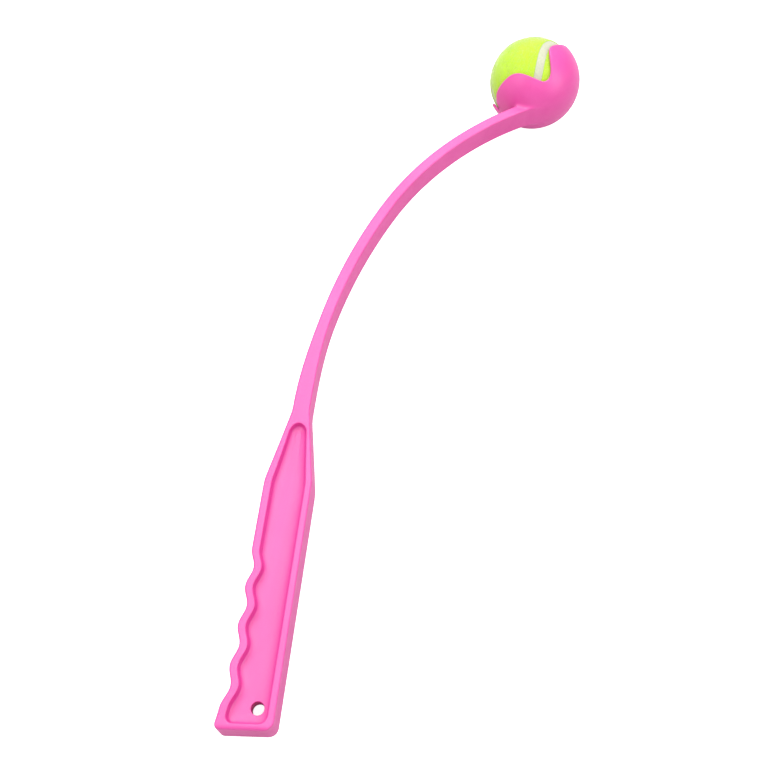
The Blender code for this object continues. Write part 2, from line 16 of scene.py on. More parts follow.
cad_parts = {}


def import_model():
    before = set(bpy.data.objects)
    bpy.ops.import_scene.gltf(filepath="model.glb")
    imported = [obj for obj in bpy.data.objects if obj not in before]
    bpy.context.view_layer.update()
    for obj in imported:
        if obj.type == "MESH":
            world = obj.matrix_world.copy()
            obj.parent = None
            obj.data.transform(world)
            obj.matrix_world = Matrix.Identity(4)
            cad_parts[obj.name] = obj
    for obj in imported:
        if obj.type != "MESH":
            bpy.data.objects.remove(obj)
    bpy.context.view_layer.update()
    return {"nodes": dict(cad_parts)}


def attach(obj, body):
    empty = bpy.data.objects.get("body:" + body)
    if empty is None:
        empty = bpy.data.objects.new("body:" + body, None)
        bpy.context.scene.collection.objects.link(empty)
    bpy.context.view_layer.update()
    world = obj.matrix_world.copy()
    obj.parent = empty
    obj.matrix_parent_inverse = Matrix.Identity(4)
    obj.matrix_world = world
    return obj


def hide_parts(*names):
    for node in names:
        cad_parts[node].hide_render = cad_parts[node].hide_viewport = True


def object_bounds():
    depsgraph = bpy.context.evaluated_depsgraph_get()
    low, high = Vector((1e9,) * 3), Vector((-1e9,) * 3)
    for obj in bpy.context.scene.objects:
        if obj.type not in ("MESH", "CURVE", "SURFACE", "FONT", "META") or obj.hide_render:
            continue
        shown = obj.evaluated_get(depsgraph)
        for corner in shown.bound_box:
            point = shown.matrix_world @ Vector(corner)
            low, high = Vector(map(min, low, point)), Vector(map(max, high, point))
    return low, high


QUARTER_TURN = math.pi / 2

# Camera
CAMERA_PLACE = (-0.058489, -0.364474, 0.644473)
CAMERA_TURN = (27.23285, -6.40671, 6.20000)
CAMERA_LENS = 51.5625
CAMERA_SENSOR = 36.0
CAMERA_NEAR = 0.01

# Where the launcher's own frame lies
REST_PLACE = (-0.072684, -0.259508, 0.013136)
REST_TURN = (-0.31450, -9.92260, 0.05420)

# Ball
BALL_RADIUS = 0.032
BALL_TURN = (42, -15, 75.5)
FELT_THICKNESS = 0.0028
FELT_EDGE_ROUND = 0.0007
FELT_EDGE_SHAVE = 0.3 * FELT_EDGE_ROUND
PANEL_A_START = 3 * math.pi / 4
PANEL_B_START = math.pi / 4
SEAM_WIDTH = 0.0052
SEAM_RECESS = 0.0003
SEAM_HOLLOW = 0.00015
SEAM_LAP = 0.0005
SEAM_SWAY_SHARE = 0.25
SEAM_RIPPLE = 0.00006
SEAM_RIPPLE_SCALE = 900
PIECE_GAP = 0.0003

# Nap and loose wool of the felt
NAP_DEPTH = 0.00016
NAP_LUMP_SCALE = 420.0
NAP_LUMP_OCTAVES = 3
NAP_LUMP_SHARE = 0.75
NAP_TUFT_SCALE = 1500.0
NAP_TUFT_SHARE = 0.35
FIBRE_COUNT = 8000
FIBRE_SEED = 7
FIBRE_LENGTH = 0.0021
FIBRE_LENGTH_SHARES = (0.5, 1.0)
FIBRE_RADIUS = 0.000035
FIBRE_TAPER = 0.6
FIBRE_CURL = 1.4
FIBRE_LIFT = 0.00042
FIBRE_LIFT_SHARES = (0.3, 1.0)
FIBRE_SINK = 0.2 * FIBRE_LIFT
FIBRE_ARCH_START = 0.08
FIBRE_ARCH_SPAN = 0.75

# Claw cup
CUP_CLEARANCE = 0.0005
CUP_WALL = 0.0019
CUP_PITCH = math.radians(13)
CUP_CANT = math.radians(15)
END_CLAW_TOP = math.radians(9.4)
SIDE_CLAW_TOP = math.radians(5.0)
SIDE_NOTCH_AT = math.radians(102)
SIDE_NOTCH_FLOOR = math.radians(-28)
END_CLAW_FLANK = math.radians(17.5)
END_CLAW_STEEPNESS = 3.0
SIDE_CLAW_FLANK = math.radians(15)
SIDE_CLAW_STEEPNESS = 2.0
SHAFT_NOTCH_AT = math.radians(172)
SHAFT_NOTCH_DEPTH = math.radians(17)
SHAFT_NOTCH_NEAR_FLANK = math.radians(10.5)
SHAFT_NOTCH_NEAR_STEEPNESS = 1.5
SHAFT_NOTCH_FAR_FLANK = math.radians(6)
SHAFT_NOTCH_FAR_STEEPNESS = 3.0

# Shaft
STRAIGHT_LENGTH = 0.1962
LOWER_BOW_RADIUS = 0.377
LOWER_BOW_TURN = math.radians(26)
UPPER_BOW_RADIUS = 0.213
UPPER_BOW_TURN = math.radians(40.4)
BALL_OFFSET = 0.0270
SHAFT_DEPTH = 0.0172
NECK_WIDTH = 0.0110
SHAFT_WIDTH = 0.0076
SHAFT_TIP_WIDTH = 0.0070
SHAFT_PALM_SHIFT = 0.00045
NECK_FADE = 0.070
TIP_TAPER_START_SHARE = 0.47
SHAFT_EDGE_ROUND = 0.0010

# Handle
HANDLE_DEPTH = 0.0206
GRIP_LENGTH = 0.145
SHOULDER_LENGTH = 0.0545
SHOULDER_EASE_SHARE = 0.10
FINGER_SIDE_AT_BUTT = 0.0160
FINGER_SIDE_AT_SHOULDER = 0.0149
PALM_SIDE_AT_BUTT = 0.0133
PALM_SIDE_AT_SHOULDER = 0.0145
FINGER_BUTT_CORNER = 0.0038
PALM_BUTT_CORNER = 0.0055
BUTT_SLANT = math.radians(3.6)
BUTT_FLARE = 0.0041
BUTT_FADE = 0.020
GROOVE_COUNT = 4
FIRST_GROOVE = 0.0230
GROOVE_PITCH = 0.0230
GROOVE_DEPTH = 0.0030
HANDLE_END_ROUND = 0.0021
HANDLE_EDGE_ROUND = 0.0011
MOULD_DRAFT = 0.0002

# Pockets and hang hole
WEB_THICKNESS = 0.0082
POCKET_BUTT_RIM = 0.0036
POCKET_NECK_RIM = 0.0118
POCKET_NECK_ROUND = 0.0055
FINGER_RIM = 0.0049
FINGER_RIM_AT_NECK = 0.0030
PALM_RIM = 0.0041
PALM_RIM_AT_NECK = 0.0022
POCKET_CORNER = 0.0042
POCKET_WALL_ANGLE = math.radians(5)
POCKET_COVE_WIDTH = 0.0060
POCKET_COVE_HEIGHT = 0.0020
POCKET_TIP_ROUND = 0.0004
POCKET_INSET_SHARE = 0.7
POCKET_LIP_ROUND = 0.0007
HANG_HOLE_RADIUS = 0.00375
HANG_HOLE_UP = 0.0131
HANG_HOLE_SIDE = 0.0021
HANG_HOLE_LIP = 0.0004
CUT_OVERRUN = 0.002

# Fillet where the shaft runs into the cup
ROOT_FILLET = 0.0028
ROOT_REACH = 0.0048
ROOT_SKIN = CUP_WALL / 4
ROOT_PASSES = 12
LEAST_STEEPNESS = 0.25

# Small steps for slopes and headings, and how the skin is joined and shaded
ROOT_NUDGE = 1e-6
SEAM_NUDGE = 1e-4
WELD_DISTANCE = 1e-6
SHARP_ANGLE = math.radians(38)

# Fineness
CORNER_STEPS = 4
FACE_STEPS = 8
SIDE_STEPS = 4
GROOVE_STEPS = 22
BUTT_STEPS = 8
SHOULDER_STEPS = 26
SHAFT_STEPS = 84
ROOT_STEP = 0.0007
ROOT_LENGTH = 0.036
POCKET_STEPS_PER_GROOVE = 20
POCKET_END_STEPS = 8
POCKET_SHOULDER_STEPS = 34
POCKET_ROUND_STEPS = 4
POCKET_COVE_STEPS = 9
CUP_COLUMNS = 220
CUP_ROWS = 34
RIM_STEPS_PER_COLUMN = 20
LIP_STEPS = 8
HOLE_SEGMENTS = 72
SEAT_SEGMENTS = 160
PANEL_ROWS = 240
PANEL_COLUMNS = 56
SEAM_STEPS = 420
SEAM_FACE_STEPS = 12
SEAM_SAMPLES = 360
FIBRE_STEPS = 3
FIBRE_SIDES = 3

# Colours, from deep to pale
WHITE = (1.0, 1.0, 1.0, 1.0)
PINK_TONES = ((0.55, 0.028, 0.233), (0.59, 0.037, 0.266), (0.63, 0.052, 0.298))
FELT_TONES = ((0.34, 0.55, 0.024), (0.39, 0.60, 0.036), (0.46, 0.65, 0.072))
WOOL_TONES = ((0.45, 0.54, 0.21), (0.52, 0.59, 0.31), (0.60, 0.64, 0.43))
SEAM_TONES = ((0.38, 0.395, 0.285), (0.46, 0.475, 0.36))
SEAM_STAIN = (0.39, 0.44, 0.24)
CORE_TONES = ((0.035, 0.034, 0.032), (0.16, 0.155, 0.14))
FLOOR_TONES = ((0.57, 0.57, 0.57), (0.59, 0.59, 0.59))
FELT_PALE_SHARE = 0.55
WOOL_PALE_SHARE = 0.9

# Stage
FLOOR_REACH = 6.0
FLOOR_CELLS = 4
FLOOR_GLOW = 0.9
SURROUND_LIGHT = 0.88
CUP_PLACE = (0.059, 0.229, 0.033)

# Lamps: name, place, what they shine at, width, length and power in watts
LAMP_PANELS = (
    ("overhead_panel", (-0.35, 0.88, 1.36), (-0.35, 0.88, 0), 1.6, 2.0, 34),
    ("left_panel", (-1.05, -0.50, 0.95), CUP_PLACE, 0.6, 0.9, 5),
    ("right_panel", (1.15, -0.25, 0.95), CUP_PLACE, 0.6, 0.9, 6.5))

# Measures that follow from the ones above
CORE_RADIUS = BALL_RADIUS - FELT_THICKNESS - PIECE_GAP
CUP_INNER_RADIUS = BALL_RADIUS + CUP_CLEARANCE
CUP_OUTER_RADIUS = CUP_INNER_RADIUS + CUP_WALL
NECK_AT = GRIP_LENGTH + SHOULDER_LENGTH
GROOVES_END = FIRST_GROOVE + (GROOVE_COUNT - 0.5) * GROOVE_PITCH
LOWER_BOW_LENGTH = LOWER_BOW_RADIUS * LOWER_BOW_TURN
SHAFT_LENGTH = LOWER_BOW_LENGTH + UPPER_BOW_RADIUS * UPPER_BOW_TURN
BODY_LENGTH = STRAIGHT_LENGTH + SHAFT_LENGTH


def turned(angles):
    """Return the matrix of a turn by three angles in degrees."""
    return Euler([math.radians(angle) for angle in angles]).to_matrix().to_4x4()


def placed(place, angles):
    """Return the matrix of a place and of a turn by three angles in degrees."""
    return Matrix.Translation(place) @ turned(angles)


# Camera

def add_camera():
    """Put the camera where the photograph was taken from."""
    data = bpy.data.cameras.new("view")
    data.lens = CAMERA_LENS
    data.sensor_width = CAMERA_SENSOR
    data.clip_start = CAMERA_NEAR
    camera = bpy.data.objects.new("view", data)
    bpy.context.scene.collection.objects.link(camera)
    camera.matrix_world = placed(CAMERA_PLACE, CAMERA_TURN)
    bpy.context.scene.camera = camera


# Meshes

def stored(bm, name):
    """Store a bmesh as a mesh."""
    mesh = bpy.data.meshes.new(name)
    bm.to_mesh(mesh)
    bm.free()
    return mesh


def mesh_from(bm, name):
    """Store a bmesh as a mesh with its faces pointing out."""
    bmesh.ops.recalc_face_normals(bm, faces=bm.faces)
    return stored(bm, name)


def add_object(mesh):
    """Link a mesh into the scene, smooth-shaded and under its own name."""
    mesh.shade_smooth()
    thing = bpy.data.objects.new(mesh.name, mesh)
    bpy.context.scene.collection.objects.link(thing)
    return thing


def bridge(bm, loops):
    """Join each closed loop of vertices to the next one, of equal count, with a band of faces."""
    for lower, upper in zip(loops, loops[1:]):
        for k in range(len(lower)):
            after = (k + 1) % len(lower)
            bm.faces.new((lower[k], lower[after], upper[after], upper[k]))


def loft(name, rings):
    """Skin closed rings of equal count and cap both ends."""
    bm = bmesh.new()
    loops = [[bm.verts.new(point) for point in ring] for ring in rings]
    bridge(bm, loops)
    bm.faces.new(loops[0])
    bm.faces.new(loops[-1])
    return mesh_from(bm, name)


# Curves

def blend(low, high, share):
    """Return the value that lies a share of the way from low to high."""
    return low + (high - low) * share


def spaced(low, high, steps):
    """Return even values from low to high."""
    return [blend(low, high, k / steps) for k in range(steps + 1)]


def quarter_angles(steps):
    """Return even angles from 0 to a quarter turn."""
    return [QUARTER_TURN * k / steps for k in range(steps + 1)]


def round_angles(count):
    """Return even angles round a full turn, which start at 0."""
    return [2 * math.pi * k / count for k in range(count)]


def clamp_share(value):
    """Limit a value to the range from 0 to 1."""
    return min(max(value, 0.0), 1.0)


def smooth_step(value):
    """Return an S-shaped rise from 0 to 1."""
    share = clamp_share(value)
    return share * share * (3 - 2 * share)


def eased_ramp(value, ease):
    """Return a straight rise from 0 to 1 with rounded ends."""
    share = clamp_share(value)
    if share < ease:
        return share * share / (2 * ease * (1 - ease))
    if share > 1 - ease:
        return 1 - (1 - share) ** 2 / (2 * ease * (1 - ease))
    return (share - ease / 2) / (1 - ease)


def corner_drop(distance, radius):
    """Return how far a quarter-round corner falls back, at a distance from its end face."""
    if distance >= radius:
        return 0.0
    return radius - math.sqrt(radius * radius - (radius - distance) ** 2)


def quarter_stations(radius, steps):
    """Return distances from an end face that space a quarter round evenly."""
    return [radius * (1 - math.cos(angle)) for angle in quarter_angles(steps)]


# Launcher body

def centreline(along):
    """Return the point and the unit heading of the launcher's centreline."""
    bow = along - STRAIGHT_LENGTH
    if bow <= 0:
        return Vector((0, along, 0)), Vector((0, 1, 0))
    centre = Vector((LOWER_BOW_RADIUS, STRAIGHT_LENGTH, 0))
    radius = LOWER_BOW_RADIUS
    turn = bow / LOWER_BOW_RADIUS
    if turn > LOWER_BOW_TURN:
        turn = LOWER_BOW_TURN + (bow - LOWER_BOW_LENGTH) / UPPER_BOW_RADIUS
        centre = upper_bow_centre()
        radius = UPPER_BOW_RADIUS
    outward = Vector((-math.cos(turn), math.sin(turn), 0))
    return centre + outward * radius, Vector((math.sin(turn), math.cos(turn), 0))


def upper_bow_centre():
    """Return the centre of the tighter bow next to the cup."""
    towards_joint = Vector((-math.cos(LOWER_BOW_TURN), math.sin(LOWER_BOW_TURN), 0))
    centre = Vector((LOWER_BOW_RADIUS, STRAIGHT_LENGTH, 0))
    return centre + towards_joint * (LOWER_BOW_RADIUS - UPPER_BOW_RADIUS)


def body_point(along, side, height):
    """Return the point beside the centreline; side is positive on the palm side."""
    slant = math.tan(BUTT_SLANT) * math.exp(-along / BUTT_FADE)
    point, heading = centreline(along + slant * side)
    palm_side = Vector((heading.y, -heading.x, 0))
    return point + palm_side * side + Vector((0, 0, height))


def shaft_half_width(along):
    """Return half the width of the shaft in the parting plane."""
    width = blend(NECK_WIDTH, SHAFT_WIDTH, smooth_step((along - NECK_AT) / NECK_FADE))
    bow_share = (along - STRAIGHT_LENGTH) / SHAFT_LENGTH
    taper = clamp_share((bow_share - TIP_TAPER_START_SHARE) / (1 - TIP_TAPER_START_SHARE))
    return blend(width, SHAFT_TIP_WIDTH, taper) / 2


def shoulder_share(along):
    """Return 0 on the grip and 1 from the neck on, with a nearly straight rise between."""
    return eased_ramp((along - GRIP_LENGTH) / SHOULDER_LENGTH, SHOULDER_EASE_SHARE)


def shoulder_fade(along):
    """Return 0 on the grip and 1 from the neck on, with an S-shaped rise between."""
    return smooth_step((along - GRIP_LENGTH) / SHOULDER_LENGTH)


def finger_half_width(along):
    """Return the distance from the centreline to the side with the finger grooves."""
    groove = 0.0
    for k in range(GROOVE_COUNT):
        phase = (along - FIRST_GROOVE - k * GROOVE_PITCH) / GROOVE_PITCH
        if abs(phase) < 0.5:
            groove = GROOVE_DEPTH * (1 + math.cos(2 * math.pi * phase)) / 2
    flare = BUTT_FLARE * math.exp(-along / BUTT_FADE)
    side = blend(FINGER_SIDE_AT_BUTT, FINGER_SIDE_AT_SHOULDER, along / GRIP_LENGTH)
    shaft = shaft_half_width(along) - SHAFT_PALM_SHIFT
    return blend(side + flare - groove, shaft, shoulder_share(along))


def palm_half_width(along):
    """Return the distance from the centreline to the straight side under the palm."""
    side = blend(PALM_SIDE_AT_BUTT, PALM_SIDE_AT_SHOULDER, along / GRIP_LENGTH)
    return blend(side, shaft_half_width(along) + SHAFT_PALM_SHIFT, shoulder_share(along))


def half_depth(along):
    """Return half the thickness across the parting plane."""
    return blend(HANDLE_DEPTH, SHAFT_DEPTH, shoulder_fade(along)) / 2


def filled_between(corners):
    """Return a ring of (across, up) points with the flat sides between corners filled in."""
    ring = []
    for corner, after, steps in corners:
        ring.extend(corner)
        start, end = corner[-1], after[0]
        for k in range(1, steps):
            share = k / steps
            ring.append((blend(start[0], end[0], share), blend(start[1], end[1], share)))
    return ring


def body_section(along):
    """Return one ring of the body: a rounded bar that is widest at the parting plane."""
    edge = blend(HANDLE_EDGE_ROUND, SHAFT_EDGE_ROUND, shoulder_fade(along))
    palm = palm_half_width(along) - corner_drop(along, PALM_BUTT_CORNER)
    finger = finger_half_width(along) - corner_drop(along, FINGER_BUTT_CORNER)
    top = half_depth(along) - corner_drop(along, HANDLE_END_ROUND)
    corners = []
    for side, reach, level in ((1, palm, 1), (-1, finger, 1), (-1, finger, -1), (1, palm, -1)):
        corner = []
        for angle in quarter_angles(CORNER_STEPS):
            across = reach - edge * (1 - math.cos(angle))
            up = top - edge * (1 - math.sin(angle))
            corner.append((side * across, level * up))
        if side != level:
            corner.reverse()
        corners.append(corner)
    finger_middle = [(-finger - MOULD_DRAFT, 0)]
    palm_middle = [(palm + MOULD_DRAFT, 0)]
    ring = filled_between((
        (corners[0], corners[1], FACE_STEPS),
        (corners[1], finger_middle, SIDE_STEPS),
        (finger_middle, corners[2], SIDE_STEPS),
        (corners[2], corners[3], FACE_STEPS),
        (corners[3], palm_middle, SIDE_STEPS),
        (palm_middle, corners[0], SIDE_STEPS)))
    return [body_point(along, across, up) for across, up in ring]


def body_stations():
    """Return the distances along the centreline at which the body has a ring."""
    root = BODY_LENGTH - ROOT_LENGTH
    stations = quarter_stations(PALM_BUTT_CORNER, BUTT_STEPS)
    stations += spaced(PALM_BUTT_CORNER, GROOVES_END, GROOVE_COUNT * GROOVE_STEPS)[1:]
    stations += spaced(GROOVES_END, NECK_AT, SHOULDER_STEPS)[1:-1]
    stations += spaced(NECK_AT, root, SHAFT_STEPS)[:-1]
    stations += spaced(root, BODY_LENGTH, round(ROOT_LENGTH / ROOT_STEP))
    return stations


def pocket_profile():
    """Return (inset, share of the wall height, lift) rows from the floor to past the face."""
    wall_height = HANDLE_DEPTH / 2 - WEB_THICKNESS / 2
    lean = wall_height * math.tan(POCKET_WALL_ANGLE)
    lip = POCKET_LIP_ROUND
    rows = []
    for angle in quarter_angles(POCKET_COVE_STEPS):
        inset = lean + POCKET_COVE_WIDTH * (1 - math.sin(angle))
        rows.append((inset, 0, POCKET_COVE_HEIGHT * (1 - math.cos(angle))))
    for angle in quarter_angles(POCKET_ROUND_STEPS):
        rows.append((-lip * (1 - math.cos(angle)), 1, lip * (math.sin(angle) - 1)))
    rows.append((-lip, 1, CUT_OVERRUN))
    return rows


def pocket_stations(start, end, corner, end_round):
    """Return the distances along the centreline of one pocket outline."""
    grip_steps = GROOVE_COUNT * POCKET_STEPS_PER_GROOVE
    stations = [start + step for step in quarter_stations(corner, POCKET_END_STEPS)]
    stations += spaced(start + corner, GROOVES_END, grip_steps)[1:]
    stations += spaced(GROOVES_END, end - end_round, POCKET_SHOULDER_STEPS)[1:-1]
    closing = [end - step for step in quarter_stations(end_round, POCKET_END_STEPS)]
    return stations + closing[::-1]


def pocket_sides(along):
    """Return how far the pocket's edge lies from the centreline on the palm and finger sides."""
    fade = shoulder_fade(along)
    palm = palm_half_width(along) - blend(PALM_RIM, PALM_RIM_AT_NECK, fade)
    finger = finger_half_width(along) - blend(FINGER_RIM, FINGER_RIM_AT_NECK, fade)
    return palm, finger


def pocket_ring(inset, share, lift, level):
    """Return one outline of the pocket, set in from its edge and raised above its floor."""
    start = POCKET_BUTT_RIM + inset
    end = NECK_AT - POCKET_NECK_RIM - inset
    end_round = max(POCKET_NECK_ROUND - inset, POCKET_TIP_ROUND)
    corner = POCKET_CORNER + POCKET_LIP_ROUND - inset / 2
    palm_points = []
    finger_points = []
    for along in pocket_stations(start, end, corner, end_round):
        palm, finger = pocket_sides(along)
        drop = corner_drop(along - start, corner)
        middle = (palm - finger) / 2
        local_inset = min(inset, POCKET_INSET_SHARE * (palm + finger) / 2)
        half = (palm + finger) / 2 - local_inset - drop
        closing = clamp_share((along - end + end_round) / end_round)
        half *= math.sqrt(1 - closing * closing)
        height = blend(WEB_THICKNESS / 2, half_depth(along), share) + lift
        palm_points.append(body_point(along, middle + half, level * height))
        finger_points.append(body_point(along, middle - half, level * height))
    return palm_points + finger_points[-2::-1]


def hole_mesh(name):
    """Make the cutter of the hang hole, which flares at both faces of the web."""
    centre = body_point(HANG_HOLE_UP, HANG_HOLE_SIDE, 0)
    face = WEB_THICKNESS / 2
    lip = HANG_HOLE_LIP
    profile = [(lip, face + CUT_OVERRUN)]
    for angle in quarter_angles(POCKET_ROUND_STEPS):
        profile.append((lip * (1 - math.sin(angle)), face - lip * (1 - math.cos(angle))))
    profile += [(grow, -height) for grow, height in reversed(profile)]
    rings = []
    for grow, height in profile:
        reach = HANG_HOLE_RADIUS + grow
        rings.append([
            centre + Vector((reach * math.cos(angle), reach * math.sin(angle), height))
            for angle in round_angles(HOLE_SEGMENTS)])
    return loft(name, rings)


# Claw cup

def cup_frame():
    """Return the cup's frame: X away from the handle, Z out of the cup's mouth."""
    foot, heading = centreline(BODY_LENGTH)
    away = Vector((-heading.y, heading.x, 0))
    mouth = away * math.cos(CUP_PITCH) - heading * math.sin(CUP_PITCH)
    ahead = heading * math.cos(CUP_PITCH) + away * math.sin(CUP_PITCH)
    canted = mouth * math.cos(CUP_CANT) + Vector((0, 0, 1)) * math.sin(CUP_CANT)
    turn = Matrix((ahead, canted.cross(ahead), canted)).transposed()
    return Matrix.Translation(foot + away * BALL_OFFSET) @ turn.to_4x4()


def notch_share(offset, flank, steepness):
    """Return how much of a notch's depth is left, at an angle from its middle."""
    return math.pow(0.5, (abs(offset) / flank) ** steepness)


def rim_elevation(azimuth):
    """Return the claws' rim angle above the ball's widest circle; azimuth 0 faces ahead."""
    around = abs(math.remainder(azimuth, 2 * math.pi))
    offset = around - SIDE_NOTCH_AT
    if offset < 0:
        side = notch_share(offset, END_CLAW_FLANK, END_CLAW_STEEPNESS)
        return blend(END_CLAW_TOP, SIDE_NOTCH_FLOOR, side)
    side = notch_share(offset, SIDE_CLAW_FLANK, SIDE_CLAW_STEEPNESS)
    aside = math.remainder(azimuth - SHAFT_NOTCH_AT, 2 * math.pi)
    if aside > 0:
        back = notch_share(aside, SHAFT_NOTCH_NEAR_FLANK, SHAFT_NOTCH_NEAR_STEEPNESS)
    else:
        back = notch_share(aside, SHAFT_NOTCH_FAR_FLANK, SHAFT_NOTCH_FAR_STEEPNESS)
    return blend(SIDE_CLAW_TOP, SIDE_NOTCH_FLOOR, side) - SHAFT_NOTCH_DEPTH * back


def rim_azimuths(count):
    """Return azimuths that space the rim evenly along its own length."""
    fine = count * RIM_STEPS_PER_COLUMN
    lengths = [0.0]
    for k in range(fine):
        low, high = (2 * math.pi * step / fine for step in (k, k + 1))
        rise = rim_elevation(high) - rim_elevation(low)
        lengths.append(lengths[-1] + math.hypot(high - low, rise))
    azimuths = []
    k = 0
    for column in range(count):
        target = lengths[-1] * column / count
        while lengths[k + 1] <= target:
            k += 1
        share = (target - lengths[k]) / (lengths[k + 1] - lengths[k])
        azimuths.append(2 * math.pi * (k + share) / fine)
    return azimuths


def polar_point(radius, azimuth, elevation):
    """Return a point of a sphere about the origin."""
    flat = radius * math.cos(elevation)
    up = radius * math.sin(elevation)
    return Vector((flat * math.cos(azimuth), flat * math.sin(azimuth), up))


def cup_column(azimuth):
    """Return the points of one meridian: up the outside, over the round lip, down the inside."""
    middle = (CUP_OUTER_RADIUS + CUP_INNER_RADIUS) / 2
    lip = CUP_WALL / 2
    rim = rim_elevation(azimuth) - lip / middle
    rows = spaced(-QUARTER_TURN, rim, CUP_ROWS)[1:]
    points = [polar_point(CUP_OUTER_RADIUS, azimuth, row) for row in rows]
    for k in range(1, LIP_STEPS):
        angle = math.pi * k / LIP_STEPS
        radius = middle + lip * math.cos(angle)
        points.append(polar_point(radius, azimuth, rim + lip * math.sin(angle) / middle))
    points += [polar_point(CUP_INNER_RADIUS, azimuth, row) for row in reversed(rows)]
    return points


def cup_mesh(name):
    """Make the claw cup as a shell with rounded lips, in the cup's frame."""
    bm = bmesh.new()
    columns = []
    for azimuth in rim_azimuths(CUP_COLUMNS):
        columns.append([bm.verts.new(point) for point in cup_column(azimuth)])
    outer_pole = bm.verts.new((0, 0, -CUP_OUTER_RADIUS))
    inner_pole = bm.verts.new((0, 0, -CUP_INNER_RADIUS))
    for here, after in zip(columns, columns[1:] + columns[:1]):
        bm.faces.new((outer_pole, here[0], after[0]))
        bm.faces.new((inner_pole, after[-1], here[-1]))
        for k in range(len(here) - 1):
            bm.faces.new((here[k], after[k], after[k + 1], here[k + 1]))
    return mesh_from(bm, name)


def sphere_mesh(name, radius):
    """Make a plain ball."""
    bm = bmesh.new()
    bmesh.ops.create_uvsphere(
        bm, u_segments=SEAT_SEGMENTS, v_segments=SEAT_SEGMENTS // 2, radius=radius)
    return mesh_from(bm, name)


# Fillet at the cup

def body_distance(points):
    """Return the distances from points near the cup to the surface of the shaft."""
    centre = upper_bow_centre()
    flat = points[:, :2] - np.array(centre[:2])
    side = UPPER_BOW_RADIUS - np.hypot(flat[:, 0], flat[:, 1])
    top = SHAFT_DEPTH / 2
    height = np.abs(points[:, 2])
    half_width = shaft_half_width(BODY_LENGTH)
    drafted = half_width + MOULD_DRAFT * np.clip(1 - height / (top - SHAFT_EDGE_ROUND), 0, 1)
    across = np.abs(side - SHAFT_PALM_SHIFT) - drafted + SHAFT_EDGE_ROUND
    up = height - top + SHAFT_EDGE_ROUND
    outside = np.hypot(np.maximum(across, 0), np.maximum(up, 0))
    return outside + np.minimum(np.maximum(across, up), 0) - SHAFT_EDGE_ROUND


def cup_distance(points):
    """Return the distances from points to the outside of the cup."""
    centre = np.array(cup_frame().translation)
    return np.linalg.norm(points - centre, axis=1) - CUP_OUTER_RADIUS


def near_root(points, limit):
    """Return which points lie on the root's outer skin, within a limit of shaft and cup."""
    foot, heading = centreline(BODY_LENGTH)
    before_shaft_end = (points - np.array(foot)) @ np.array(heading) < 0
    cup = cup_distance(points)
    close = np.maximum(body_distance(points), cup) < limit
    return close & (cup > -ROOT_SKIN) & before_shaft_end


def rounded_union(points):
    """Return the distances from points to the shaft and the cup, joined by a fillet."""
    shaft = body_distance(points)
    cup = cup_distance(points)
    overlap = np.maximum(ROOT_FILLET - np.abs(shaft - cup), 0) / ROOT_FILLET
    return np.minimum(shaft, cup) - overlap * overlap * ROOT_FILLET / 4


def fillet_root(bm):
    """Move the surface near the shaft's root out to the fillet."""
    verts = list(bm.verts)
    points = np.array([vert.co[:] for vert in verts])
    chosen = np.nonzero(near_root(points, ROOT_FILLET))[0]
    moved = points[chosen]
    for _ in range(ROOT_PASSES):
        value = rounded_union(moved)
        slope = np.zeros_like(moved)
        for axis, nudge in enumerate(np.eye(3) * ROOT_NUDGE):
            rise = rounded_union(moved + nudge) - rounded_union(moved - nudge)
            slope[:, axis] = rise / (2 * ROOT_NUDGE)
        steep = np.maximum((slope * slope).sum(axis=1), LEAST_STEEPNESS)
        moved = moved - slope * (value / steep)[:, None]
    for index, point in zip(chosen, moved):
        verts[index].co = point


def refine_root(bm):
    """Halve the faces about the shaft's root so that the fillet has enough points."""
    inside = near_root(np.array([vert.co[:] for vert in bm.verts]), ROOT_REACH)
    bm.verts.index_update()
    edges = [e for e in bm.edges if all(inside[vert.index] for vert in e.verts)]
    bmesh.ops.subdivide_edges(bm, edges=edges, cuts=1, use_grid_fill=True)


def cut(body, guide, operation="DIFFERENCE"):
    """Add a Boolean modifier that applies the guide to the body."""
    modifier = body.modifiers.new(guide.name, "BOOLEAN")
    modifier.operation = operation
    modifier.solver = "EXACT"
    modifier.object = guide


def make_guides():
    """Make the pieces that are cut out of the body, and last the cup that is joined to it."""
    meshes = []
    for level in (1, -1):
        meshes.append(loft("pocket_guide", [pocket_ring(*row, level) for row in pocket_profile()]))
    meshes.append(hole_mesh("hole_guide"))
    middle_of_wall = blend(CUP_INNER_RADIUS, CUP_OUTER_RADIUS, 0.5)
    meshes.append(sphere_mesh("seat_guide", middle_of_wall))
    meshes.append(cup_mesh("cup_guide"))
    guides = [add_object(mesh) for mesh in meshes]
    for guide in guides[-2:]:
        guide.matrix_world = cup_frame()
    return guides


